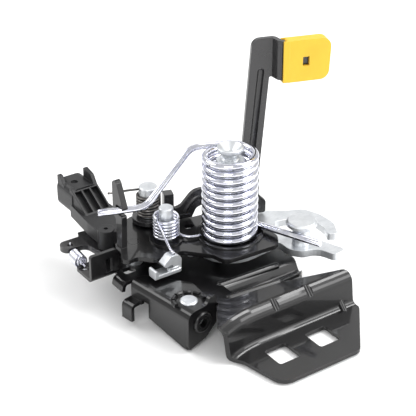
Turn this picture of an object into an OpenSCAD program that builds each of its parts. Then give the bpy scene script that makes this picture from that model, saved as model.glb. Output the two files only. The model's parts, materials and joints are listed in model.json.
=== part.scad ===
// Bonnet latch: a stamped base with its stepped mounting flange, a sprung claw and pawl between two plates,
// a safety lever with an end cap, and a bonnet switch. Millimetres, +Z towards the front of the car and
// +X upwards on the car. Plan positions are measured from the claw's axis, and every piece is then shifted
// so that the origin lies midway between the two square holes, on the flange's underside.

/* [Levels] */
// Upper face of the base plate over the flange's underside
base_z = 20; // [18:0.5:22]
// Thickness of the base plate
base_t = 2; // [1.6:0.1:2.4]
// Upper face of the top plate
top_z = 32; // [31.5:0.25:33]
// Thickness of the top plate
top_t = 2.5; // [2:0.1:2.8]
// Underside of the claw
claw_z = 24.5; // [24:0.1:24.8]
// Thickness of the claw
claw_t = 4; // [3:0.1:4.2]

/* [Mounting flange] */
// Side of each square hole
hole_w = 13.4; // [11:0.1:14]
// Distance between the two square holes
hole_pitch = 25.8; // [24:0.1:27]
// Middle of the two holes, along X from the claw's axis
hole_mid_x = -4.7; // [-6:0.1:-3]
// Middle of the two holes, along Y from the claw's axis
hole_mid_y = -70.3; // [-71:0.1:-69]

/* [Claw spring] */
// Outer diameter of the big coil
coil_d = 30; // [29:0.5:31]
// Wire of the big coil
coil_wire = 3.7; // [3:0.1:3.8]
// Whole turns of the big coil
coil_turns = 11; // [10:1:11]
// Height that one turn climbs
coil_pitch = 4.4; // [4.2:0.05:4.45]

/* [Studs] */
// Diameter of the stud that the claw turns on
claw_stud_d = 10; // [9:0.5:10]
// Diameter of the pawl's pin
pawl_stud_d = 7.8; // [7:0.1:8]
// Diameter of the rear pin where the safety lever turns
rear_stud_d = 8; // [7:0.1:8.4]
// Diameter of the rivets' shanks
rivet_d = 6; // [5:0.5:6]
// Running clearance round each pin, on the radius
run = 0.05; // [0.03:0.01:0.08]

/* [Safety lever] */
// Thickness of the lever's sheet
lever_t = 2.5; // [2:0.1:2.8]
// Top of the lever over the flange's underside
lever_top = 132.5; // [120:0.5:136]
// Length of the end cap
cap_l = 24.5; // [22:0.5:26]
// Height of the end cap
cap_h = 23; // [21:0.5:24]
// Thickness of the end cap
cap_t = 6; // [5.5:0.25:7]

/* [Hidden] */
$fn = 64;

black = "#1d1d1f";
zinc = "#c8cbd0";
bright = "#dfe1e4";
yellow = "#f6cd2c";

base_mid = base_z - base_t / 2;
top_low = top_z - top_t;
claw_top = claw_z + claw_t;
fit = 0.05;
gap = 0.35;
over = 1;

// Axes of the studs and pins, from the claw's axis
pawl_at = [-31, 14];
rear_at = [-28.2, 35.5];
rivet_at = [-47, 21.5];
switch_at = [-55.4, 35.2];
claw_pin_at = [28.6, -25.3];
bracket_rivet_at = [-46.4, -29.5];

// Heads of the rivets, and the riveted feet of the pins under the base
rivet_head_r = 4.6;
pin_foot = [[0, 15.5], [5.5, 15.5], [6, 16], [6, base_z - base_t]];

// Tops of the pins, and the middle of the groove round the pawl's
pawl_stud_top = 51.5;
groove_z = 44;
rear_stud_top = 53.6;
switch_pin_r = 2.6;
switch_pin_top = 34.5;

// Pressed channel beside the ledge
channel_z = 14;
channel_x = [-22, 25];
ledge_y = -38;
channel_y = -22.5;
beads = [[[-22.4, -22.8], [13, -24.2]], [[-25.4, -35.2], [4, -37.8]]];
bead_r = 2;
bead_h = 0.9;

// Cable bracket: its outer corner on the floor side, and the turn of its long wall
bracket_at = [-53.5, -39.5];
bracket_turn = 9;
bracket_t = 2;
bracket_top = base_z + bracket_t;
bracket_l = 44;
cable_eye_r = 2.9;
cable_boss_r = 4.8;
cable_boss_h = 1.5;
cable_eye = [9.2, 13.6];

// Upright of the safety lever: a point of its mid plane, and the plane's turn
upright_at = [-16, 28];
upright_turn = -19;
lever_z = top_z + 1.2;
stem_low = [41.6, 58];
stem_high = [46.6, 114];
cap_offset = -6.5;
cap_x = 57.6;
cap_z = 109.8;
cap_wall = 2;
tongue_l = 19;

// Big coil: middle radius, lowest and highest turn, and the angles between which it climbs
coil_mid = (coil_d - coil_wire) / 2;
coil_low = top_z + coil_wire / 2 + 0.1;
rise_from = 200;
rise_to = rise_from + 360 * (coil_turns - 0.85);
coil_top = coil_low + coil_pitch * (rise_to - rise_from) / 360;
stud_top = coil_top + 5.2;

// Switch lever between the base and the switch
switch_lever_z = 22;
switch_lever_t = 3;
switch_low = switch_lever_z + switch_lever_t + 0.4;
spring_hole = [-70.2, 48.2];
// Tongue of the base plate that holds the extension spring, with its upturned wall
arm_x = [-75.2, -58];
arm_y = [17.8, 34.8];
arm_top = 34;
arm_hole = [-71.6, 31];

function unit(v) = v / norm(v);
function polar(r, a) = r * [cos(a), sin(a)];

// Arc in place of the corner b between a and c
function fillet(a, b, c, r) =
    let (u = unit(a - b), v = unit(c - b), half = acos(max(-1, min(1, u * v))) / 2,
        centre = b + unit(u + v) * r / sin(half), s = b + u * r / tan(half) - centre,
        e = b + v * r / tan(half) - centre, a0 = atan2(s.y, s.x),
        sweep = (atan2(e.y, e.x) - a0 + 540) % 360 - 180, n = max(2, ceil(abs(sweep) / 15)))
    [for (i = [0 : n]) centre + polar(r, a0 + sweep * i / n)];

function xy(p) = [p.x, p.y];
function corner(a, b, c) = b.z > 0 ? fillet(xy(a), xy(b), xy(c), b.z) : [xy(b)];

// Closed outline from corners [x, y, radius]
function rounded(p) = let (n = len(p))
    [for (i = [0 : n - 1]) each corner(p[(i + n - 1) % n], p[i], p[(i + 1) % n])];

// Corners of a rounded rectangle
function box_corners(x, y, r) = [[x[0], y[0], r], [x[1], y[0], r], [x[1], y[1], r], [x[0], y[1], r]];

// Open centre line from corners [x, y, radius]
function bent(p) = let (n = len(p))
    [for (i = [0 : n - 1]) each i == 0 || i == n - 1 ? [xy(p[i])] : corner(p[i - 1], p[i], p[i + 1])];

// Section of folded sheet along a centre line
function sheet(p, t) = let (m = bent(p), n = len(m),
    side = [for (i = [0 : n - 1])
        let (d = unit(m[min(i + 1, n - 1)] - m[max(i - 1, 0)])) [-d.y, d.x] * t / 2])
    concat([for (i = [0 : n - 1]) m[i] + side[i]], [for (i = [n - 1 : -1 : 0]) m[i] - side[i]]);

// Turns of a coil from angle a0 to a1, right-handed
function helix(at, r, z0, pitch, a0, a1, steps) = let (n = ceil((a1 - a0) / 360 * steps))
    [for (i = [0 : n]) let (a = a0 + (a1 - a0) * i / n)
        [at.x + r * cos(a), at.y + r * sin(a), z0 + pitch * (a - a0) / 360]];

// Quadratic curve that rounds a bend of a wire
function bend(a, b, c, n = 5) =
    [for (i = [0 : n]) let (k = i / n) (1 - k) * (1 - k) * a + 2 * k * (1 - k) * b + k * k * c];
function toward(a, b, d) = a + unit(b - a) * d;

// Folded sheet with its section in Y and Z, from x0 to x1
module fold_x(p, t, x0, x1) rotate([90, 0, 90]) translate([0, 0, x0]) linear_extrude(x1 - x0)
    polygon(sheet(p, t));

// Folded sheet with its section in X and Z, from y0 to y1
module fold_y(p, t, y0, y1) along_y(y0, y1) polygon(sheet(p, t));

// Outline in X and Z, from y0 to y1
module along_y(y0, y1) translate([0, y1, 0]) rotate([90, 0, 0]) linear_extrude(y1 - y0) children();

// Flat plate of an outline, from z0 up
module plate(p, z0, t) translate([0, 0, z0]) linear_extrude(t) polygon(rounded(p));

module pole(at, r, z0, z1) translate([at.x, at.y, z0]) cylinder(r = r, h = z1 - z0);

module ring(at, r_in, r_out, z0, z1) difference() {
    pole(at, r_out, z0, z1);
    pole(at, r_in, z0 - over, z1 + over);
}

module square_hole(at, w) plate([for (a = [45 : 90 : 315])
    [at.x + w / sqrt(2) * cos(a), at.y + w / sqrt(2) * sin(a), 1.6]], -over, base_t + 2 * over);

// Round wire swept along a path
module wire(path, d, sides = 8) {
    n = len(path);
    along = [for (i = [0 : n - 1]) unit(path[min(i + 1, n - 1)] - path[max(i - 1, 0)])];
    first = unit(cross(along[0], abs(along[0].z) < 0.9 ? [0, 0, 1] : [1, 0, 0]));
    across = [for (i = 0, v = first; i < n; i = i + 1,
        v = let (t = along[min(i, n - 1)]) unit(v - t * (v * t))) v];
    points = [for (i = [0 : n - 1]) let (w = cross(along[i], across[i])) for (k = [0 : sides - 1])
        let (a = k * 360 / sides) path[i] + d / 2 * (across[i] * cos(a) + w * sin(a))];
    sleeve = [for (i = [0 : n - 2], k = [0 : sides - 1]) let (a = i * sides, j = (k + 1) % sides)
        [a + k, a + sides + k, a + sides + j, a + j]];
    polyhedron(points, concat([[for (k = [0 : sides - 1]) k]], sleeve,
        [[for (k = [sides - 1 : -1 : 0]) (n - 1) * sides + k]]));
}

// Base plate: flange, step and ledge on one fold line, the pressed channel, and the flat between
flange_fold = [[-95, base_t / 2, 0], [-54.6, base_t / 2, 4], [-52.6, base_mid, 5],
    [ledge_y + 1, base_mid, 0]];
channel_fold = [[ledge_y - 2, base_mid, 0], [-36.6, base_mid, 2.5], [-33, channel_z - 1, 2.5],
    [-28, channel_z - 1, 2.5], [-24.4, base_mid, 2.5], [channel_y + 2, base_mid, 0]];
flange_outline = [[-35.4, ledge_y, 0], [-45.6, -53.4, 3], [-45, -57.4, 2.5], [-37.8, -62.6, 8],
    [-32.5, -90, 8], [16.5, -90, 5], [41.5, -60, 5], [40.2, -48.4, 3.5], [7, -40, 0], [5, ledge_y, 0]];
// Left of this the flange's bends follow an arc towards the front
sweep_x = -20;
sweep_r = 60;
sweep_angle = 30;
channel_outline = [[channel_x[0], ledge_y - 1, 0], [5, ledge_y - 1, 0], [19, -38.4, 4],
    [channel_x[1], -32, 6], [channel_x[1], channel_y + 1, 0], [channel_x[0], channel_y + 1, 0]];
flat_outline = [[-35.4, ledge_y - 0.5, 0], [channel_x[0], ledge_y - 0.5, 0], [channel_x[0], channel_y, 0],
    [channel_x[1], channel_y, 0], [27, 4, 5], [20, 27, 9], [-8, 29, 9], [-21, 46, 6], [-34, 47, 4],
    [-35, 61, 3], [-47, 61, 3], [-45.5, 37, 2], [-60, 20, 4], [-62, 8, 2], [-55.2, 5.2, 1], [-53.2, -8, 3],
    [-49.3, -35.4, 1], [-33.6, -33, 1], [-33.6, -37, 0]];

module base_plate() color(black) difference() {
    union() {
        intersection() {
            union() {
                fold_x(flange_fold, base_t, sweep_x, 44);
                translate([sweep_x, flange_fold[2].x - sweep_r, 0]) rotate(90)
                    rotate_extrude(angle = sweep_angle, $fn = 180)
                        translate([sweep_r - flange_fold[2].x, 0]) polygon(sheet(flange_fold, base_t));
            }
            linear_extrude(base_z + over) polygon(rounded(flange_outline));
        }
        intersection() {
            fold_x(channel_fold, base_t, channel_x[0], channel_x[1]);
            linear_extrude(base_z + over) polygon(rounded(channel_outline));
        }
        plate(flat_outline, base_z - base_t, base_t);
        // end wall of the channel
        translate([channel_x[0] - base_t, ledge_y - 0.5, channel_z - base_t])
            cube([base_t, channel_y - ledge_y + 0.5, base_z - channel_z + base_t]);
        for (b = beads) bead(b[0], b[1]);
        // lip turned down at the left edge
        fold_y([[-50, base_mid, 0], [-62, base_mid, 3], [-63, 14.5, 0]], base_t, 6.5, 16.5);
        // stiffening bump across the lower bend
        bend_bar([33, -56.2, 2.9], 1.7);
        spring_arm();
    }
    for (side = [-1, 1]) square_hole([hole_mid_x + side * hole_pitch / 2, hole_mid_y], hole_w);
    for (at = [[0, 0, claw_stud_d], [pawl_at.x, pawl_at.y, pawl_stud_d],
        [rear_at.x, rear_at.y, rear_stud_d], [rivet_at.x, rivet_at.y, rivet_d],
        [bracket_rivet_at.x, bracket_rivet_at.y, rivet_d]])
        pole(at, at.z / 2 + fit, base_z - base_t - over, base_z + over);
    // slot near the left edge
    plate(box_corners([-57.3, -50.7], [12.8, 18], 1.4), base_z - base_t - over, base_t + 2 * over);
    // stiffening dents across the upper bend
    for (x = [-9, 13]) bend_bar([x, -52.7, base_z - 0.8], 2.2);
    // window of the tongue's wall
    translate([arm_x[0] + 9, arm_y[0] - over, base_z + 1.6]) cube([3.6, base_t + 2 * over, 8]);
}

// Raised bead along one side of the channel, from a to b
module bead(a, b) translate([a.x, a.y, base_z + bead_h - bead_r]) rotate(atan2(b.y - a.y, b.x - a.x)) {
    rotate([0, 90, 0]) cylinder(r = bead_r, h = norm(b - a));
    for (x = [0, norm(b - a)]) translate([x, 0, 0]) sphere(bead_r);
}

// Short round bar lying across a bend, at 45 degrees
module bend_bar(at, r) translate(at) rotate([-45, 0, 0]) cylinder(r = r, h = 7, center = true);

// Tongue under the switch lever, with its front edge turned up and the hole of the extension spring
module spring_arm() difference() {
    union() {
        plate([[arm_x[0], arm_y[0] + 2, 0], [-54, arm_y[0] + 2, 0], [-50, 29, 0], [-58, arm_y[1], 4],
            [arm_x[0], arm_y[1], 2.5]], base_z - base_t, base_t);
        intersection() {
            fold_x([[arm_y[0] + 4, base_mid, 0], [arm_y[0] + base_t / 2, base_mid, 2],
                [arm_y[0] + base_t / 2, arm_top, 0]], base_t, arm_x[0], arm_x[1]);
            along_y(arm_y[0] - over, arm_y[1]) polygon(rounded([[arm_x[0], base_z - base_t, 0],
                [arm_x[1], base_z - base_t, 0], [arm_x[1], arm_top, 3], [arm_x[0], arm_top, 1.5]]));
        }
    }
    pole(arm_hole, 2, base_z - base_t - over, base_z + over);
}

// Folded cable bracket: long wall with its hook, end wall with the cable eye, and the castellated seat
module cable_bracket() color(black) difference() {
    union() {
        translate([bracket_at.x, bracket_at.y, 0]) rotate(bracket_turn) difference() {
            union() {
                intersection() {
                    fold_y([[bracket_t / 2, 0, 0], [bracket_t / 2, bracket_top - bracket_t / 2, 3.5],
                        [40, bracket_top - bracket_t / 2, 0]], bracket_t, 0, bracket_l);
                    linear_extrude(bracket_top + over) polygon(rounded([[0, 0, 2.5], [16, 0, 2],
                        [22, 20, 8], [8, bracket_l, 6], [0, bracket_l, 1]]));
                }
                // end wall with its ear
                along_y(0, bracket_t) polygon(rounded([[0, 0, 2.5], [12, 2.5, 3], [19.5, 9, 2],
                    [19.5, 25.5, 2.3], [14.8, 25.5, 2.3], [13, bracket_top, 3], [0, bracket_top, 4.5]]));
                translate([cable_eye.x, 0, cable_eye.y]) rotate([90, 0, 0])
                    cylinder(r = cable_boss_r, h = cable_boss_h);
                // hook at the far end of the long wall
                translate([0, bracket_l - 0.5, 0]) rotate([90, 0, 0]) linear_extrude(7.5)
                    polygon(sheet([[1.5, 12, 0], [-5.5, 12, 2], [-5.5, 3, 0]], bracket_t));
            }
            // lower edge of the long wall climbs to the notch beside the hook
            rotate([90, 0, 90]) translate([0, 0, -0.2]) linear_extrude(3)
                polygon([[4, -over], [50, -over], [50, 11], [35.5, 11], [35.5, 14], [30, 14], [30, 5.5],
                    [4, 0]]);
            translate([cable_eye.x, 5, cable_eye.y]) rotate([90, 0, 0]) cylinder(r = cable_eye_r, h = 10);
        }
        for (a = [-24 : 36 : 156]) seat_block(a);
    }
    pole(bracket_rivet_at, rivet_d / 2 + fit, base_z - over, bracket_top + over);
}

// One block of the castellated seat round the rivet
module seat_block(a) translate([bracket_rivet_at.x, bracket_rivet_at.y, bracket_top]) rotate(a)
    rotate_extrude(angle = 27)
        polygon([[6.8, -0.5], [9, -0.5], [9, 1], [8.4, 1.7], [7.4, 1.7], [6.8, 1]]);

module bracket_rivet() color(zinc) translate([bracket_rivet_at.x, bracket_rivet_at.y, 0]) rotate_extrude()
    polygon([[0, base_z - base_t - 2], [3.8, base_z - base_t - 2], [rivet_head_r, base_z - base_t - 1.2],
        [rivet_head_r, base_z - base_t], [rivet_d / 2, base_z - base_t], [rivet_d / 2, bracket_top],
        [rivet_head_r, bracket_top], [rivet_head_r, bracket_top + 0.6], [3.9, bracket_top + 1.2],
        [0, bracket_top + 1.4]]);

// Top plate with the raised collars of its pins and the fin that takes the big spring's arm
top_outline = [[-63.5, 6.8, 3], [-53, 7.6, 6], [-46, -0.4, 5], [-31, -0.4, 5], [-20, -13, 5],
    [-18, -21.8, 4], [14.5, -24.2, 5], [19.8, -16, 6], [16.5, -2, 8], [19.5, 12, 7], [8, 23.5, 8],
    [-6, 25.5, 4], [-14, 29, 5], [-20, 45, 7], [-37, 45, 7], [-49, 27, 5], [-56.4, 25.4, 2],
    [-56.4, 18.4, 4]];
fin_x = [-55.6, -52.4];
fin_outline = [[19, top_low, 0], [24, top_low, 0], [24, 47.5, 2], [26.6, 50, 2], [26.8, 68.6, 2.5],
    [24.6, 70.3, 1.5], [22.6, 69.6, 2], [16.6, 56, 1.2], [17.6, 55, 0.4], [18.6, 56.9, 0.5],
    [23.6, 56.9, 1.5], [23.6, 51.4, 1.5], [18, 51.4, 1]];

module top_plate() color(black) difference() {
    union() {
        plate(top_outline, top_low, top_t);
        pole(pawl_at, 9, top_z - 0.5, top_z + 1);
        ring([0, 0], 16, 18, top_z - 0.5, top_z + 0.7);
        rotate([90, 0, 90]) translate([0, 0, fin_x[0]]) linear_extrude(fin_x[1] - fin_x[0])
            polygon(rounded(fin_outline));
    }
    pole([0, 0], claw_stud_d / 2 + fit, top_low - over, top_z + over);
    pole(pawl_at, pawl_stud_d / 2 + fit, top_low - over, top_z + 2 * over);
    pole(rear_at, rear_stud_d / 2 + fit, top_low - over, top_z + over);
    pole(rivet_at, rivet_d / 2 + fit, top_low - over, top_z + over);
    // oblong hole beside the big spring
    plate(box_corners([-16.5, -11], [16, 20.5], 2), top_low - over, top_t + 2 * over);
}

// Stud of the claw, riveted under the base, with a flared head at the top of the big spring
module claw_stud() color(zinc) rotate_extrude() polygon([[0, 14.5], [7, 14.5], [8, 15.5],
    [8, base_z - base_t], [claw_stud_d / 2, base_z - base_t], [claw_stud_d / 2, stud_top - 6.8],
    [4.2, stud_top - 6.4], [4.2, stud_top - 4.8], [6.9, stud_top - 2.2], [6.9, stud_top - 0.4],
    [6.2, stud_top], [2, stud_top - 3.4], [0, stud_top - 3.4]]);

module spring_bush() color(zinc) rotate_extrude() polygon([[claw_stud_d / 2 + fit, top_z], [10, top_z],
    [10, top_z + 3], [7.6, top_z + 5], [7.4, stud_top - 7.8], [7, stud_top - 7.2],
    [claw_stud_d / 2 + fit, stud_top - 7.2]]);

module claw_spacer() color(zinc) ring([0, 0], claw_stud_d / 2 + fit, 9, base_z, claw_z - gap);

module pawl_stud() color(zinc) translate([pawl_at.x, pawl_at.y, 0]) rotate_extrude()
    polygon(concat(pin_foot, [[pawl_stud_d / 2, base_z - base_t], [pawl_stud_d / 2, groove_z - 0.8],
        [3.1, groove_z - 0.6], [3.1, groove_z + 0.6], [pawl_stud_d / 2, groove_z + 0.8],
        [pawl_stud_d / 2, pawl_stud_top - 0.5], [pawl_stud_d / 2 - 0.5, pawl_stud_top],
        [0, pawl_stud_top]]));

module pawl_spacer() color(zinc) ring(pawl_at, pawl_stud_d / 2 + fit, 7, base_z, claw_z - gap);

module rear_stud() color(zinc) translate([rear_at.x, rear_at.y, 0]) rotate_extrude()
    polygon(concat(pin_foot, [[rear_stud_d / 2, base_z - base_t],
        [rear_stud_d / 2, lever_z + lever_t + gap], [5.1, lever_z + lever_t + gap],
        [5.1, rear_stud_top - 0.6], [4.6, rear_stud_top], [0, rear_stud_top]]));

module rear_spacer() color(zinc) ring(rear_at, rear_stud_d / 2 + fit, 6.5, base_z, top_low);

// Rivet that joins the two plates at the left, through its spacer, set flush in the top plate
module plate_rivet() color(black) translate([rivet_at.x, rivet_at.y, 0]) rotate_extrude()
    polygon([[0, 16], [4, 16], [rivet_head_r, 16.6], [rivet_head_r, base_z - base_t],
        [rivet_d / 2, base_z - base_t], [rivet_d / 2, top_z], [0, top_z]]);

module rivet_spacer() color(zinc) ring(rivet_at, rivet_d / 2 + fit, 4.8, base_z, top_low);

// Bonnet switch: moulded body with a boss over the lever's axis, ribbed slope and connector shroud
shroud_x = [-57, -40];
shroud_y = [71, 84.5];
shroud_z = [28, 45];
shroud_wall = 1.7;
shroud_r = 5;

module shroud_section(inset) polygon(rounded(box_corners(shroud_x + [inset, -inset],
    shroud_z + [inset, -inset], shroud_r - inset)));

module switch_housing() color("#2a2a2c") difference() {
    union() {
        pole(switch_at, 4.6, switch_low, 36.5);
        plate([[-59.4, 36, 3], [-50, 29, 4], [-43, 37, 4], [-38.5, 50, 3], [-39.5, 71, 1], [-57, 71, 1],
            [-59.4, 48, 3]], 28, 7.5);
        // sloped back of the body, up to the shroud
        rotate([90, 0, 90]) translate([0, 0, shroud_x[0] + 0.5]) linear_extrude(16)
            polygon([[53, 30], [71, 30], [71, 44.5], [69, 44.5], [54, 35.5]]);
        along_y(shroud_y[0] - 3, shroud_y[1]) shroud_section(0);
        // foot on the base plate
        plate(box_corners([-45.3, -38.5], [46, 59], 1), base_z, 9);
        // ears beside the connector's mouth
        translate([shroud_x[0] + 0.6, 0, 0]) rotate([90, 0, 90]) linear_extrude(2)
            polygon(rounded([[76, 41, 0], [84.5, 41, 0], [84.5, 48, 1], [81.5, 48, 1]]));
        translate([shroud_x[1] - 2.8, 0, 0]) rotate([90, 0, 90]) linear_extrude(2.2)
            polygon(rounded([[66, 41, 0], [79.5, 41, 0], [79.5, 50.5, 1], [71.5, 49, 1.5]]));
    }
    along_y(shroud_y[0] + 2, shroud_y[1] + over) shroud_section(shroud_wall);
    pole(switch_at, switch_pin_r + fit, switch_low - over, switch_pin_top + gap);
    pole(switch_at, 1.2, switch_pin_top, 37);
    // hollows between the ribs of the slope
    for (i = [0 : 2]) translate([shroud_x[0] + 1.6 + i * 5, 56.5, 33.5]) rotate([30, 0, 0])
        cube([4, 14.5, 8]);
    translate([-50.5, 76, 44]) cylinder(r = 2, h = 3);
}

module switch_pins() color("#c9a94f") for (x = [-51.5, -45.5])
    translate([x - 0.4, shroud_y[0] + 2, 36]) cube([0.8, 8, 1.6]);

module switch_pivot() color(zinc) translate([switch_at.x, switch_at.y, 0]) rotate_extrude()
    polygon([[0, 20.4], [4.6, 20.4], [5.2, 20.8], [5.2, switch_lever_z - gap],
        [switch_pin_r, switch_lever_z - gap], [switch_pin_r, switch_pin_top], [0, switch_pin_top]]);

// Claw, shown open: hub with the pawl's rim, the hooked arm and the arm that the striker pushes
rim_r = 25;
hub_r = 19;
claw_outline = concat([for (a = [108 : 6 : 168]) [rim_r * cos(a), rim_r * sin(a), 0]],
    [[-rim_r, 2, 1.5], [-hub_r, 1, 1]], [for (a = [190 : 15 : 280]) [hub_r * cos(a), hub_r * sin(a), 0]],
    [[19.5, -17, 3], [19.5, -27, 6], [24, -33, 5], [32, -34.6, 8], [35.6, -44.8, 2.5], [44.2, -44.6, 2.5],
        [38.6, -29, 7], [28.5, -14, 5], [28, 1.2, 4], [38, -1.2, 6], [49.4, -8, 6], [48.6, -21, 5],
        [46.2, -26.4, 1.2], [51, -29, 2], [56.5, -19, 8], [56.3, -8, 8], [52.6, 2.6, 7], [43, 6.6, 7],
        [30, 15.6, 12], [8, 23.4, 8]]);

claw_pin_r = 3.5;

module claw() color(zinc) difference() {
    plate(claw_outline, claw_z, claw_t);
    pole([0, 0], claw_stud_d / 2 + run, claw_z - over, claw_top + over);
    pole(claw_pin_at, claw_pin_r + fit, claw_z - over, claw_top + over);
}

// Headed pin that the big spring's leg pushes
module claw_pin() color(zinc) translate([claw_pin_at.x, claw_pin_at.y, 0]) rotate_extrude()
    polygon([[0, claw_z], [claw_pin_r, claw_z], [claw_pin_r, claw_top], [4.8, claw_top], [4.8, 39.2],
        [7.4, 39.2], [8.2, 40], [8.2, 41.6], [7.2, 42.6], [0, 42.6]]);

// Pawl with its nose at the claw's rim and the folded cable hook in front of the top plate
pawl_t = 3.5;
pawl_outline = [[-40, 14, 6], [-41, -1, 3], [-44, -6.8, 1.5], [-36.6, -6.8, 1.5], [-35, 0, 4],
    [-23.6, 9.4, 5], [-22.8, 15.2, 3], [-18.6, 18.2, 1], [-20.2, 21.6, 1.5], [-28, 23.2, 6], [-37, 22, 6]];

module pawl() color(zinc) difference() {
    union() {
        plate(pawl_outline, claw_z, pawl_t);
        // cable hook: foot, upturned end and crown, with the cable's slot between them
        plate([[-51.6, -7, 1.5], [-34, -7, 2], [-35.6, -1, 1], [-51.8, -1, 1.5]], claw_z, 2);
        along_y(-7, -1) polygon(rounded([[-51.8, claw_z, 0], [-49.4, claw_z, 0], [-50.2, 29.4, 0.7],
            [-51.8, 29.4, 0.7]]));
        along_y(-6.6, -1.4) polygon(rounded([[-39.6, claw_z, 0], [-35.4, claw_z, 0], [-35.2, 32.2, 2.5],
            [-37.4, 35, 2], [-41.8, 35, 2.5], [-46.2, 30.8, 0.8], [-44.8, 29, 0.8], [-40.6, 30.4, 1.5]]));
    }
    pole(pawl_at, pawl_stud_d / 2 + run, claw_z - over, claw_z + pawl_t + over);
}

// Safety lever: flat hub on the rear pin, arched upright behind the big spring, and the stem with its bead
lug_x = -6.2;
lug_w = 5.2;
lug_top = 48.8;
jog_z = 110.8;
upright_outline = [[-3, lever_z, 0], [9, lever_z, 0.5], [11.5, 38.6, 3], [16, 40.5, 4], [35, 40.5, 8],
    [44, claw_top + 1.2, 1], [51, claw_top + 1.2, 1.5], [51, 37, 2.5], [47, 41, 3], [47, 58, 0],
    [51.3, jog_z, 0.8], [53, jog_z, 0], [53, lever_top, 0], [41.8, lever_top, 4.5], [36.4, 60, 14],
    [28, 50, 8], [10, 49.6, 8], [3, 41, 4], [lug_x + lug_w, 39.5, 1], [lug_x + lug_w, lug_top, 1],
    [lug_x, lug_top, 1], [lug_x, lever_z, 0]];

module on_upright() translate([upright_at.x, upright_at.y, 0]) rotate(upright_turn) children();

// Round bar along the stem, for its pressed bead
module stem_bar(r, back) {
    d = stem_high - stem_low;
    translate([stem_low.x, back, stem_low.y]) rotate([0, atan2(d.x, d.y), 0]) {
        cylinder(r = r, h = norm(d));
        sphere(r);
        translate([0, 0, norm(d)]) sphere(r);
    }
}

module safety_lever() color(black) difference() {
    union() {
        on_upright() difference() {
            union() {
                along_y(-lever_t / 2, lever_t / 2) polygon(rounded(upright_outline));
                stem_bar(2.5, 0.4);
                plate([[-20, -4, 5], [9, -lever_t / 2, 1], [9, lever_t / 2, 1], [0, 5, 4], [-7, 12, 4],
                    [-20, 12, 5]], lever_z, lever_t);
                // lug for the dark spring's leg
                translate([lug_x, -lever_t / 2, lever_z]) cube([lug_w, 5.5, lug_top - lever_z]);
                // jogged end that carries the cap
                translate([0, 0, jog_z]) linear_extrude(lever_top - jog_z) polygon(sheet([[50, 0, 0],
                    [53.4, 0, 2], [55.4, cap_offset, 2], [cap_x - 0.3, cap_offset, 0]], lever_t));
                translate([cap_x - 2, cap_offset - lever_t / 2, cap_z + cap_wall])
                    cube([tongue_l + 2, lever_t, cap_h - 2 * cap_wall]);
            }
            stem_bar(1.9, -1.2);
        }
        pole(rear_at, 9, lever_z, lever_z + lever_t);
    }
    pole(rear_at, rear_stud_d / 2 + run, lever_z - over, lever_z + lever_t + over);
}

// End cap pushed on the lever's end, with its small window
module lever_cap() color(yellow) on_upright() translate([cap_x, cap_offset, cap_z]) difference() {
    translate([0, cap_t / 2, 0]) rotate([90, 0, 0]) linear_extrude(cap_t) polygon(rounded([[0, 0, 1.5],
        [cap_l - 1, 0, 5], [cap_l, cap_h, 5], [0, cap_h, 1.5]]));
    translate([-over, -lever_t / 2, cap_wall]) cube([tongue_l + over, lever_t, cap_h - 2 * cap_wall]);
    translate([9, -cap_t, 8.6]) cube([3.6, cap_t, 5]);
}

// Lever under the switch, with the round end that the extension spring pulls
module switch_lever() color(black) difference() {
    plate([[-75.8, 53.6, 4], [-75, 45.4, 4], [-63, 44, 4], [-60, 27.4, 6], [-49.4, 27, 6],
        [-47.6, 41, 5], [-48.6, 56, 4], [-60.5, 57.4, 1], [-62, 53.4, 1]], switch_lever_z, switch_lever_t);
    pole(switch_at, switch_pin_r + run, switch_lever_z - over, switch_lever_z + switch_lever_t + over);
    pole(spring_hole, 1.6, switch_lever_z - over, switch_lever_z + switch_lever_t + over);
}

// Big torsion spring: the lower leg lies against the claw's pin, the upper arm runs into the fin's notch
leg_angle = 16.8;
arm_angle = 68;
leg_tip = [26.4, -43.3, 37.4];
arm_high = [-11.4, 19, coil_top];
arm_bend = [-42.6, 15.6, 54.2];
arm_tip = [-65.4, 24.4, 54.2];

// The end turns lie flat, and the turns between them climb
module claw_spring() color(bright) {
    turns = concat(helix([0, 0], coil_mid, coil_low, 0, leg_angle, rise_from - 20, 18),
        helix([0, 0], coil_mid, coil_low, coil_pitch, rise_from, rise_to, 18),
        helix([0, 0], coil_mid, coil_top, 0, rise_to + 20, arm_angle + 360 * coil_turns, 18));
    end = turns[len(turns) - 1];
    wire(concat([leg_tip], turns, bend(toward(arm_high, end, 4), arm_high, toward(arm_high, arm_bend, 4)),
        bend(toward(arm_bend, arm_high, 4), arm_bend, toward(arm_bend, arm_tip, 4)), [arm_tip]),
        coil_wire, 10);
}

// Pawl's torsion spring: one leg on the cable hook, the other towards the big spring's foot
module pawl_spring() color(bright) {
    turns = helix(pawl_at, 6.3, top_z + 2.4, 1.9, 32, 175 + 360 * 6, 18);
    wire(concat([[-16.4, 2.6, top_z + 1.6]], turns, [[-39, -2, 36], [-39.4, -6, 35.9]]), 1.5, 8);
}

// Safety lever's torsion spring, with its long arm behind the fin
module lever_spring() color("#4a4744") {
    turns = helix(rear_at, 6.1, lever_z + lever_t + 1.3, 1.75, 48, 108 + 360 * 7, 18);
    wire(concat([[-16.6, 34.1, lever_z + lever_t + 1]], turns, [[-40, 36.6, 54], [-55, 31.6, 59.2]]),
        1.3, 6);
}

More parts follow.
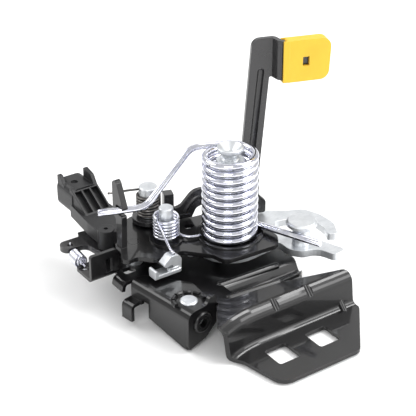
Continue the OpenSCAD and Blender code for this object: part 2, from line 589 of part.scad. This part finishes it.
// Extension spring between the switch lever and the tongue, lying flat behind the tongue's wall
module switch_spring() color(bright) {
    r = 3.3;
    body = 8.5;
    start = 4.5;
    run_out = spring_hole - arm_hole;
    reach = norm(run_out);
    hook_in = [[2.7, 0, 0], [0.9, 0, 0], [0.2, 0, 0.7], [0.1, 0, start - 2.6], [-r * 0.5, 0, start - 1.3]];
    hook_out = [[r * 0.5, 0, start + body + 1.2], [0.2, 0, start + body + 2.2], [0.1, 0, reach - 0.8],
        [-0.8, 0, reach], [-5, 0, reach]];
    translate([arm_hole.x, arm_hole.y, base_z + 1.1]) rotate([0, 90, atan2(run_out.y, run_out.x)])
        wire(concat(hook_in, helix([0, 0], r, start, 1, 180, 180 + 360 * body, 14), hook_out), 0.95, 6);
}

module placed() translate([-hole_mid_x, -hole_mid_y, 0]) children();

placed() base_plate();
placed() cable_bracket();
placed() bracket_rivet();
placed() top_plate();
placed() claw_stud();
placed() spring_bush();
placed() claw_spacer();
placed() pawl_stud();
placed() pawl_spacer();
placed() rear_stud();
placed() rear_spacer();
placed() plate_rivet();
placed() rivet_spacer();
placed() switch_housing();
placed() switch_pins();
placed() switch_pivot();
placed() claw();
placed() claw_pin();
placed() pawl();
placed() safety_lever();
placed() lever_cap();
placed() switch_lever();
placed() claw_spring();
placed() pawl_spring();
placed() lever_spring();
placed() switch_spring();
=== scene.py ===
"""Bonnet latch: finishes, smooth springs, pressed forms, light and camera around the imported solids."""
import json
import math

import bpy
from mathutils import Matrix, Vector


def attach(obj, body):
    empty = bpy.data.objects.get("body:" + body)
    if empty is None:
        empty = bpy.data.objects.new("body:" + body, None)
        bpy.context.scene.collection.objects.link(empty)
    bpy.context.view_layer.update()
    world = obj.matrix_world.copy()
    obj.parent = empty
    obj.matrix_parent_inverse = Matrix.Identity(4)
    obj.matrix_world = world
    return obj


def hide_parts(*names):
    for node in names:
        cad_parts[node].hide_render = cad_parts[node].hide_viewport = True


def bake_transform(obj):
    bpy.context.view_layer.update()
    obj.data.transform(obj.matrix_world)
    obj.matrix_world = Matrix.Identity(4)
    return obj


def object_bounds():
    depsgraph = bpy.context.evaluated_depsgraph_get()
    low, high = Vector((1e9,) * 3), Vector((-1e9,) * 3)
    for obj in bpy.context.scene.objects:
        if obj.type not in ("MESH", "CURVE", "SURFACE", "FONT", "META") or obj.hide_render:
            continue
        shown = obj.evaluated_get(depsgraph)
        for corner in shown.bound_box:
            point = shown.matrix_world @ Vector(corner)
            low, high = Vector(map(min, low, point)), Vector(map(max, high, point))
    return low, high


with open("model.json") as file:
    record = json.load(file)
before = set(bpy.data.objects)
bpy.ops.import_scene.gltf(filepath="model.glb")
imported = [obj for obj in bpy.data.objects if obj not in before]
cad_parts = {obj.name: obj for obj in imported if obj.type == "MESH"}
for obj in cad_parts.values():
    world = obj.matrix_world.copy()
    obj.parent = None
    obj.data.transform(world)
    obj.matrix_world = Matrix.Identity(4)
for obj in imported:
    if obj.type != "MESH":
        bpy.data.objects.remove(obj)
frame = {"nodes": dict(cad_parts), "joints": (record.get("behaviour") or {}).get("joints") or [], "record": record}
cad_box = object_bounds()
nodes = frame["nodes"]
joints = {j["name"]: j for j in frame["joints"]}
MM = 0.001


def link(name, data):
    """A new object with that data, in the scene."""
    thing = bpy.data.objects.new(name, data)
    bpy.context.scene.collection.objects.link(thing)
    return thing


def mesh_piece(name, points, faces):
    """A new object with a mesh of those points, in metres."""
    mesh = bpy.data.meshes.new(name)
    mesh.from_pydata(points, [], faces)
    return link(name, mesh)


# Camera, matched to the photograph, whose frame is PHOTO_PX pixels square

PHOTO_PX = 416
FOCAL_PX = 1326.5
EYE = Vector((-0.3540, -0.4220, 0.3918))
AZIMUTH = math.radians(-35)
ELEVATION = math.radians(29.5)
SENSOR = 36
NEAREST = 0.01


def add_camera():
    back = Vector((
        math.sin(AZIMUTH) * math.cos(ELEVATION),
        -math.cos(AZIMUTH) * math.cos(ELEVATION),
        math.sin(ELEVATION),
    ))
    right = Vector((math.cos(AZIMUTH), math.sin(AZIMUTH), 0))
    data = bpy.data.cameras.new("camera")
    data.sensor_fit = "HORIZONTAL"
    data.sensor_width = SENSOR
    data.lens = SENSOR * FOCAL_PX / PHOTO_PX
    data.clip_start = NEAREST
    camera = link("camera", data)
    camera.matrix_world = Matrix((right, back.cross(right), back)).transposed().to_4x4()
    camera.location = EYE
    bpy.context.scene.camera = camera


# Node helpers for the materials

NOISE_SPAN = (0.3, 0.7)
EDGE_SPAN = (0.98, 0.75)
BEVEL_SAMPLES = 6


def is_socket(value):
    return isinstance(value, bpy.types.NodeSocket)


def feed(tree, socket, value):
    """Links a value that comes from a node, and sets a plain one."""
    if is_socket(value):
        tree.links.new(value, socket)
    else:
        socket.default_value = value


def add_node(tree, kind, inputs=None, **settings):
    node = tree.nodes.new(kind)
    for key, value in settings.items():
        setattr(node, key, value)
    for key, value in (inputs or {}).items():
        feed(tree, node.inputs[key], value)
    return node


def new_material(name, **values):
    material = bpy.data.materials.new(name)
    material.use_nodes = True
    bsdf = material.node_tree.nodes["Principled BSDF"]
    for key, value in values.items():
        bsdf.inputs[key.replace("_", " ")].default_value = value
    return material, material.node_tree, bsdf


def connect(tree, bsdf, colour, rough, normal):
    for key, value in (("Base Color", colour), ("Roughness", rough), ("Normal", normal)):
        tree.links.new(value, bsdf.inputs[key])


def noise(tree, size, detail=3.0, roughness=0.5, stretch=(1, 1, 1)):
    """Noise whose features are about size metres across, stretched along the axes."""
    place = add_node(tree, "ShaderNodeTexCoord").outputs["Object"]
    scale = [1 / (size * s) for s in stretch]
    scaled = add_node(tree, "ShaderNodeMapping", {"Vector": place, "Scale": scale}).outputs["Vector"]
    return add_node(tree, "ShaderNodeTexNoise", {
        "Vector": scaled, "Scale": 1.0, "Detail": detail, "Roughness": roughness,
    }).outputs["Fac"]


def spread(tree, value, low, high, to_low=0.0, to_high=1.0):
    """The value's range from low to high, stretched to the range from to_low to to_high."""
    return add_node(tree, "ShaderNodeMapRange", {
        "Value": value, "From Min": low, "From Max": high, "To Min": to_low, "To Max": to_high,
    }, clamp=True).outputs["Result"]


def mixed(tree, factor, a, b):
    """Colour a where the factor is 0, and colour b where it is 1."""
    node = add_node(tree, "ShaderNodeMix", {"Factor": factor}, data_type="RGBA")
    for key, value in (("A", a), ("B", b)):
        socket = [s for s in node.inputs if s.name == key and s.type == "RGBA"][0]
        feed(tree, socket, value if is_socket(value) else (*value, 1))
    return [s for s in node.outputs if s.type == "RGBA"][0]


def times(tree, a, b):
    return add_node(tree, "ShaderNodeMath", {0: a, 1: b}, operation="MULTIPLY").outputs["Value"]


def shade(colour, share):
    return [min(1.0, c * share) for c in colour]


def round_edges(tree, radius):
    """Normal with the edges rounded to that radius, and a mask that is 1 on those edges."""
    rounded = add_node(tree, "ShaderNodeBevel", {"Radius": radius}, samples=BEVEL_SAMPLES).outputs["Normal"]
    flat = add_node(tree, "ShaderNodeNewGeometry").outputs["Normal"]
    dot = add_node(tree, "ShaderNodeVectorMath", {0: rounded, 1: flat}, operation="DOT_PRODUCT")
    return rounded, spread(tree, dot.outputs["Value"], *EDGE_SPAN)


def bumped(tree, height, depth, normal=None):
    """Normal with a bump of that depth, over another normal if one is given."""
    inputs = {"Height": height, "Distance": depth, "Strength": 1.0}
    if normal is not None:
        inputs["Normal"] = normal
    return add_node(tree, "ShaderNodeBump", inputs).outputs["Normal"]


# Materials, one for each slot of the record

def black_coat(name, rough, shine, coat, deep, edge_wear_and_highlight):
    """Dip coat on stamped steel: long soft waves, uneven gloss, and lighter edges that are partly a thinner coat
    and partly a painted highlight.
    """
    edge_r = 0.6 * MM
    cloud_size = 16 * MM
    wave_size = 4.5 * MM
    wave_depth = 0.012 * MM
    patch_size = 3 * MM
    patch_span = (0.4, 0.65)
    patch_share = (0.2, 1.0)
    lighter = 1.5
    gloss = (0.85, 1.2)
    material, tree, bsdf = new_material(
        name, Metallic=0.0, Coat_Weight=coat, Coat_Roughness=0.04, Specular_IOR_Level=shine)
    normal, edge = round_edges(tree, edge_r)
    cloud = noise(tree, cloud_size, detail=3)
    patches = spread(tree, noise(tree, patch_size, detail=4, roughness=0.6), *patch_span, *patch_share)
    body = mixed(tree, cloud, deep, shade(deep, lighter))
    # Edges take the lighter edge colour in patches: partly a thinner coat, partly a painted highlight.
    connect(
        tree, bsdf,
        mixed(tree, times(tree, edge, patches), body, edge_wear_and_highlight),
        spread(tree, cloud, *NOISE_SPAN, rough * gloss[0], rough * gloss[1]),
        bumped(tree, noise(tree, wave_size, detail=2), wave_depth, normal))
    return material


def plated(name, dark, light, rough, grain):
    """Bright plating: soft clouds, fine rolling lines, and paler edges that are partly wear and partly a painted
    highlight.
    """
    edge_r = 0.4 * MM
    edge_share = 0.6
    edge_wear_and_highlight_gain = 1.12
    cloud_size = 7 * MM
    cloud_span = (0.25, 0.75)
    line_size = 0.35 * MM
    line_stretch = (9, 1, 1)
    line_span = (0.52, 0.75)
    line_share = (0.0, 0.35)
    line_shade = 0.72
    gloss = (1.35, 0.75)
    material, tree, bsdf = new_material(name, Metallic=1.0)
    normal, edge = round_edges(tree, edge_r)
    cloud = noise(tree, cloud_size, detail=5, roughness=0.6)
    lines = noise(tree, line_size, detail=2, stretch=line_stretch)
    colour = mixed(tree, spread(tree, cloud, *NOISE_SPAN), dark, light)
    colour = mixed(tree, spread(tree, lines, *line_span, *line_share), colour, shade(dark, line_shade))
    # Edges are mixed towards a paler colour: partly wear, partly a painted highlight.
    connect(
        tree, bsdf,
        mixed(tree, times(tree, edge, edge_share), colour, shade(light, edge_wear_and_highlight_gain)),
        spread(tree, cloud, *cloud_span, rough * gloss[0], rough * gloss[1]),
        bumped(tree, lines, grain, normal))
    return material


def wire_finish(name, dark, light, rough):
    """Drawn spring wire: lines along the wire (its UV runs along u) and faint stains."""
    line_scale = (40.0, 1500.0, 1.0)
    line_span = (0.5, 0.8)
    line_share = (0.0, 0.5)
    line_shade = 0.6
    line_depth = 0.01 * MM
    stain_size = 5 * MM
    stain_span = (0.35, 0.7)
    gloss = (0.8, 1.5)
    material, tree, bsdf = new_material(name, Metallic=1.0)
    uv = add_node(tree, "ShaderNodeUVMap", uv_map="along").outputs["UV"]
    drawn = add_node(tree, "ShaderNodeMapping", {"Vector": uv, "Scale": line_scale}).outputs["Vector"]
    lines = add_node(tree, "ShaderNodeTexNoise", {
        "Vector": drawn, "Scale": 1.0, "Detail": 3.0,
    }).outputs["Fac"]
    stain = noise(tree, stain_size, detail=5, roughness=0.65)
    colour = mixed(tree, spread(tree, stain, *stain_span), light, dark)
    connect(
        tree, bsdf,
        mixed(tree, spread(tree, lines, *line_span, *line_share), colour, shade(dark, line_shade)),
        spread(tree, stain, *NOISE_SPAN, rough * gloss[0], rough * gloss[1]),
        bumped(tree, lines, line_depth))
    return material


def moulded(name, dark, light, edge_wear_and_highlight, rough, glow=0.0):
    """Moulded plastic with a fine grain, lighter edges that are partly rubbed and partly a painted highlight, and
    a faint flow pattern.
    """
    edge_r = 0.5 * MM
    edge_share = 0.5
    flow_size = 9 * MM
    flow_stretch = (1, 1, 2)
    grain_size = 0.45 * MM
    grain_depth = 0.03 * MM
    glow_depth = 1.2 * MM
    gloss = (0.85, 1.15)
    material, tree, bsdf = new_material(
        name, Metallic=0.0, Specular_IOR_Level=0.45, Subsurface_Weight=glow, Subsurface_Scale=glow_depth)
    normal, edge = round_edges(tree, edge_r)
    flow = noise(tree, flow_size, detail=4, roughness=0.55, stretch=flow_stretch)
    grain = noise(tree, grain_size, detail=3, roughness=0.6)
    colour = mixed(tree, spread(tree, flow, *NOISE_SPAN), dark, light)
    # Edges are mixed towards the lighter edge colour: partly rubbing, partly a painted highlight.
    connect(
        tree, bsdf,
        mixed(tree, times(tree, edge, edge_share), colour, edge_wear_and_highlight),
        spread(tree, grain, *NOISE_SPAN, rough * gloss[0], rough * gloss[1]),
        bumped(tree, grain, grain_depth, normal))
    return material


def all_materials():
    return {
        # The edge colours given below are partly wear, partly a painted highlight.
        "black_coat": black_coat(
            "black_coat", rough=0.34, shine=0.25, coat=0.5,
            deep=(0.0022, 0.0021, 0.0024), edge_wear_and_highlight=(0.016, 0.016, 0.018)),
        "black_satin": black_coat(
            "black_satin", rough=0.24, shine=0.6, coat=0.15,
            deep=(0.016, 0.0155, 0.0165), edge_wear_and_highlight=(0.06, 0.06, 0.063)),
        "zinc": plated(
            "zinc", dark=(0.62, 0.64, 0.66), light=(0.78, 0.80, 0.82), rough=0.40, grain=0.004 * MM),
        "bright_wire": wire_finish(
            "bright_wire", dark=(0.58, 0.59, 0.70), light=(0.90, 0.91, 0.95), rough=0.10),
        "dark_wire": wire_finish(
            "dark_wire", dark=(0.10, 0.095, 0.09), light=(0.24, 0.23, 0.22), rough=0.28),
        "yellow_plastic": moulded(
            "yellow_plastic", dark=(0.66, 0.41, 0.022), light=(0.72, 0.46, 0.028),
            edge_wear_and_highlight=(0.78, 0.55, 0.07), rough=0.40, glow=0.06),
        "black_plastic": moulded(
            "black_plastic", dark=(0.008, 0.008, 0.009), light=(0.013, 0.013, 0.014),
            edge_wear_and_highlight=(0.03, 0.03, 0.032), rough=0.42),
        "contact": plated(
            "contact", dark=(0.55, 0.42, 0.16), light=(0.80, 0.64, 0.30), rough=0.25, grain=0.003 * MM),
    }


# Wires and their paths, in millimetres from the claw's axis

ORIGIN = Vector(joints["claw_turn"]["pos_m"]) / MM
ORIGIN.z = 0


def axis_of(joint):
    at = Vector(joints[joint]["pos_m"]) / MM - ORIGIN
    return at.x, at.y


def helix(at, r, z0, pitch, a0, a1, steps):
    """Points of a coil from the angle a0 to a1, in degrees, with so many steps a turn."""
    count = math.ceil((a1 - a0) / 360 * steps)
    turns = []
    for i in range(count + 1):
        a = a0 + (a1 - a0) * i / count
        turns.append(Vector((
            at[0] + r * math.cos(math.radians(a)),
            at[1] + r * math.sin(math.radians(a)),
            z0 + pitch * (a - a0) / 360,
        )))
    return turns


def curve(a, b, c, steps=10):
    """Points of the smooth curve from a to c that heads for b at first."""
    shares = [i / steps for i in range(steps + 1)]
    return [a * (1 - k) ** 2 + b * 2 * k * (1 - k) + c * k * k for k in shares]


def bend(a, b, c, reach, steps=10):
    """Points that round the corner b of a wire from a to c, starting reach before it."""
    return curve(b + (a - b).normalized() * reach, b, b + (c - b).normalized() * reach, steps)


def tube(name, path, diameter, sides=20):
    """Round wire along a path, with slightly rounded ends and a UV that runs along it in metres."""
    end_lead, end_size = 0.12, 0.78
    path = [p + ORIGIN for p in path]
    count = len(path)
    along = [(path[min(i + 1, count - 1)] - path[max(i - 1, 0)]).normalized() for i in range(count)]
    lead = diameter * end_lead
    rings = [(path[0] - along[0] * lead, along[0], end_size)]
    rings += [(p, d, 1.0) for p, d in zip(path, along)]
    rings += [(path[-1] + along[-1] * lead, along[-1], end_size)]
    across = along[0].orthogonal().normalized()
    points, reach, last = [], [], rings[0][0]
    travelled = 0.0
    for p, d, size in rings:
        across = (across - d * across.dot(d)).normalized()
        other = d.cross(across)
        travelled += (p - last).length
        last = p
        reach.append(travelled * MM)
        for k in range(sides):
            a = 2 * math.pi * k / sides
            points.append((p + (across * math.cos(a) + other * math.sin(a)) * size * diameter / 2) * MM)
    faces, uvs = [], []
    for i in range(len(rings) - 1):
        for k in range(sides):
            j = (k + 1) % sides
            faces.append((i * sides + k, i * sides + j, (i + 1) * sides + j, (i + 1) * sides + k))
            v, next_v = [n / sides * math.pi * diameter * MM for n in (k, k + 1)]
            uvs += [(reach[i], v), (reach[i], next_v), (reach[i + 1], next_v), (reach[i + 1], v)]
    faces.append(tuple(reversed(range(sides))))
    uvs += [(reach[0], 0.0)] * sides
    faces.append(tuple(range((len(rings) - 1) * sides, len(rings) * sides)))
    uvs += [(reach[-1], 0.0)] * sides
    piece = mesh_piece(name, points, faces)
    layer = piece.data.uv_layers.new(name="along")
    for loop, uv in zip(layer.data, uvs):
        loop.uv = uv
    for face in piece.data.polygons:
        face.use_smooth = len(face.vertices) == 4
    return piece


# Smooth springs in place of the faceted coils, on their centre lines but for the pawl spring's curved leg

PLATE_TOP = 32.0
LEVER_TOP = 35.7


def add_spring(name, path, diameter, slot, node):
    """A spring that stands for its node, hidden in its place, and is fixed to the frame."""
    piece = tube(name, path, diameter)
    piece.data.materials.append(materials[slot])
    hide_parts(node)
    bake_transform(piece)
    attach(piece, "frame")


def claw_spring():
    """Big torsion spring: flat end turns, the turns between them climbing, and two long legs."""
    wire = 3.7
    coil_r = 13.15
    pitch = 4.4
    turns = 11
    flat_turns = 0.85
    steps = 60
    leg_angle = 16.8
    rise_from = 200
    arm_angle = 68
    ease = 6
    bend_reach = 5
    clear = 0.1
    low_z = PLATE_TOP + wire / 2 + clear
    rise_to = rise_from + 360 * (turns - flat_turns)
    top_z = low_z + pitch * (rise_to - rise_from) / 360
    coil = helix((0, 0), coil_r, low_z, 0, leg_angle, rise_from - ease, steps)
    coil += helix((0, 0), coil_r, low_z, pitch, rise_from, rise_to, steps)
    coil += helix((0, 0), coil_r, top_z, 0, rise_to + ease, arm_angle + 360 * turns, steps)
    leg = Vector((26.4, -43.3, 37.4))
    high = Vector((-11.4, 19, top_z))
    low = Vector((-42.6, 15.6, 54.2))
    tip = Vector((-65.4, 24.4, 54.2))
    path = [leg] + coil
    path += bend(coil[-1], high, low, bend_reach) + bend(high, low, tip, bend_reach) + [tip]
    add_spring("claw_spring_wire", path, wire, "bright_wire", "claw_spring")


def pawl_spring():
    """Small torsion spring on the pawl's pin, with a curved lower leg and a hooked upper one."""
    at = axis_of("pawl_turn")
    wire = 1.5
    coil_r = 6.3
    pitch = 1.9
    turns = 6
    steps = 48
    leg_angle = 32
    hook_angle = 175
    hook_reach = 1.5
    foot_z = PLATE_TOP + 2.4
    coil = helix(at, coil_r, foot_z, pitch, leg_angle, hook_angle + 360 * turns, steps)
    hook = Vector((-39, -2, 36))
    tip = Vector((-39.4, -6, 35.9))
    leg = curve(Vector((-15.6, 4.9, PLATE_TOP + 1.6)), Vector((-25.2, 4.5, PLATE_TOP + 1.8)), coil[0])
    path = leg[:-1] + coil + bend(coil[-1], hook, tip, hook_reach) + [tip]
    add_spring("pawl_spring_wire", path, wire, "bright_wire", "pawl_spring")


def lever_spring():
    """Dark torsion spring on the rear pin, with a long arm over to the fin."""
    at = axis_of("lever_turn")
    wire = 1.3
    coil_r = 6.1
    pitch = 1.75
    turns = 7
    steps = 48
    leg_angle = 48
    arm_angle = 108
    arm_reach = 4
    foot_z = LEVER_TOP + 1.3
    coil = helix(at, coil_r, foot_z, pitch, leg_angle, arm_angle + 360 * turns, steps)
    leg = Vector((-16.6, 34.1, LEVER_TOP + 1))
    elbow = Vector((-40, 36.6, 54))
    tip = Vector((-55, 31.6, 59.2))
    path = [leg] + coil + bend(coil[-1], elbow, tip, arm_reach) + [tip]
    add_spring("lever_spring_wire", path, wire, "dark_wire", "lever_spring")


def switch_spring():
    """Small extension spring, lying flat behind the tongue's wall, from the tongue to the switch lever."""
    wire = 0.95
    coil_r = 3.3
    pitch = 1
    turns = 8.5
    start = 4.5
    tail = 1.4
    steps = 36
    low_hook = 2.7
    high_hook = -5
    hook_reach = 0.9
    tip_share = 0.06
    low = Vector((-71.6, 31, 21.1))
    high = Vector((-70.2, 48.2, 21.1))
    along = (high - low).normalized()
    down = Vector((0, 0, -1))
    across = Vector((-along.y, along.x, 0))
    reach = (high - low).length
    ends = [Vector((x, 0, z)) for x, z in ((low_hook, 0), (0, 0), (0, reach), (high_hook, reach))]
    first = helix((0, 0), coil_r, start - tail, 2 * tail, 0, 180, steps)
    last = helix((0, 0), coil_r, start + pitch * turns, 2 * tail, 0, 180, steps)
    for turn, narrows in ((first, False), (last, True)):
        for i, p in enumerate(turn):
            k = i / (len(turn) - 1)
            p.xy *= tip_share + (1 - tip_share) * (1 - k if narrows else k)
    local = ends[:1] + bend(ends[0], ends[1], first[0], hook_reach) + first
    local += helix((0, 0), coil_r, start, pitch, 180, 180 + 360 * turns, steps)[1:] + last[1:]
    local += bend(last[-1], ends[2], ends[3], hook_reach) + ends[3:]
    path = [low + down * p.x + across * p.y + along * p.z for p in local]
    add_spring("switch_spring_wire", path, wire, "bright_wire", "switch_spring")


# Pressed forms that the solids leave plain, half sunk in their pieces

BRACKET = Matrix.Translation((-53.5, -39.5, 0)) @ Matrix.Rotation(math.radians(9), 4, "Z")
UPRIGHT = Matrix.Translation((-16, 28, 0)) @ Matrix.Rotation(math.radians(-19), 4, "Z")


def dress(piece, slot, body):
    piece.data.materials.append(materials[slot])
    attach(piece, body)


def eye_rim():
    """Drawn rim round the cable eye's boss, in the end wall of the bracket."""
    middle = Vector((9.2, -0.5, 13.6))
    ring_r = 4.6
    wire = 2.4
    step = 8
    turns = [math.radians(a) for a in range(-90, 271, step)]
    ring = [middle + Vector((ring_r * math.cos(a), 0, ring_r * math.sin(a))) for a in turns]
    dress(tube("eye_rim", [BRACKET @ p for p in ring], wire), "black_coat", "frame")


def arch_bead():
    """Bead pressed into the arch of the safety lever's upright."""
    depth = -0.6
    wire = 3.1
    steps = 16
    outline = ((5, 36.6), (8, 43.8), (13, 45.2), (27, 45.4))
    foot, knee, shoulder, end = [Vector((x, depth, z)) for x, z in outline]
    path = curve(foot, knee, shoulder, steps) + [end]
    dress(tube("arch_bead", [UPRIGHT @ p for p in path], wire), "black_satin", "lever_body")


def cap_mouth():
    """Open mouth of the end cap: front, lower and back walls that reach past it, clear of the lever."""
    cap_x, cap_y, cap_z = 57.6, -6.5, 109.8
    cap_h = 23
    cap_half = 3
    wall = 0.8
    reach = 1.5
    sunk = 1.8
    proud = 0.03
    corner = 0.3
    inner = cap_half - wall
    half = cap_half + proud
    low = -proud
    top = cap_h + proud
    outline = [
        (-half, top), (-half, low + corner), (corner - half, low),
        (half - corner, low), (half, low + corner), (half, top),
        (inner, top), (inner, wall), (-inner, wall), (-inner, top),
    ]
    count = len(outline)
    ends = (cap_x - reach, cap_x + sunk)
    points = [UPRIGHT @ Vector((x, cap_y + y, cap_z + z)) for x in ends for y, z in outline]
    sides = [(k, (k + 1) % count, count + (k + 1) % count, count + k) for k in range(count)]
    near_end = [(9, 8, 1, 0), (8, 7, 4, 3, 2, 1), (7, 6, 5, 4)]
    far_end = [tuple(count + k for k in reversed(face)) for face in near_end]
    piece = mesh_piece("cap_mouth", [(p + ORIGIN) * MM for p in points], sides + near_end + far_end)
    dress(piece, "yellow_plastic", "lever_body")


# Floor, lights and surroundings, in metres and watts

FLOOR_HALF = 3
FLOOR_GAP = 0.5 * MM
FLOOR_GREY = 0.9
WORLD_STRENGTH = 0.7
LIT_POINT = Vector((0.0, 0.07, 0.04))
LIGHTS = {
    "overhead": {"place": (0.35, 0.0, 1.0), "size": (0.8, 0.45), "power": 2},
    "strip": {"place": (0.6, -0.1, 0.95), "size": (0.7, 0.16), "power": 5},
    "side": {"place": (0.62, -0.75, 0.72), "size": (0.6, 0.5), "power": 6},
    "low": {"place": (0.9, -0.9, 0.3), "size": (1.3, 0.5), "power": 3},
    "front": {"place": (-0.75, -0.65, 0.8), "size": (0.6, 0.6), "power": 5},
    "back": {"place": (-0.55, 0.8, 0.85), "size": (0.7, 0.5), "power": 5},
    "back_right": {"place": (0.55, 0.95, 0.75), "size": (0.7, 0.35), "power": 0.6},
}


def add_floor():
    z = cad_box[0].z - FLOOR_GAP
    corners = [(-FLOOR_HALF, -FLOOR_HALF, z), (FLOOR_HALF, -FLOOR_HALF, z),
               (FLOOR_HALF, FLOOR_HALF, z), (-FLOOR_HALF, FLOOR_HALF, z)]
    floor = mesh_piece("floor", corners, [(0, 1, 2, 3)])
    grey = (FLOOR_GREY, FLOOR_GREY, FLOOR_GREY, 1)
    pale, _, _ = new_material("pale_floor", Base_Color=grey, Roughness=0.9, Specular_IOR_Level=0.1)
    floor.data.materials.append(pale)


def add_light(name, place, size, power):
    data = bpy.data.lights.new(name, "AREA")
    data.shape = "RECTANGLE"
    data.size, data.size_y = size
    data.energy = power
    lamp = link(name, data)
    lamp.location = place
    lamp.rotation_euler = (LIT_POINT - Vector(place)).to_track_quat("-Z", "Y").to_euler()


def add_world():
    world = bpy.data.worlds.new("studio")
    world.use_nodes = True
    background = world.node_tree.nodes["Background"]
    background.inputs["Color"].default_value = (1, 1, 1, 1)
    background.inputs["Strength"].default_value = WORLD_STRENGTH
    bpy.context.scene.world = world
    bpy.context.scene.view_settings.view_transform = "Standard"


add_camera()
materials = all_materials()
for part in frame["record"]["subparts"]:
    slots = nodes[part["node"]].data.materials
    slots.clear()
    slots.append(materials[part["material_slot"]])
claw_spring()
pawl_spring()
lever_spring()
switch_spring()
eye_rim()
arch_bead()
cap_mouth()
add_floor()
for light, values in LIGHTS.items():
    add_light(light, **values)
add_world()

bpy.context.view_layer.update()
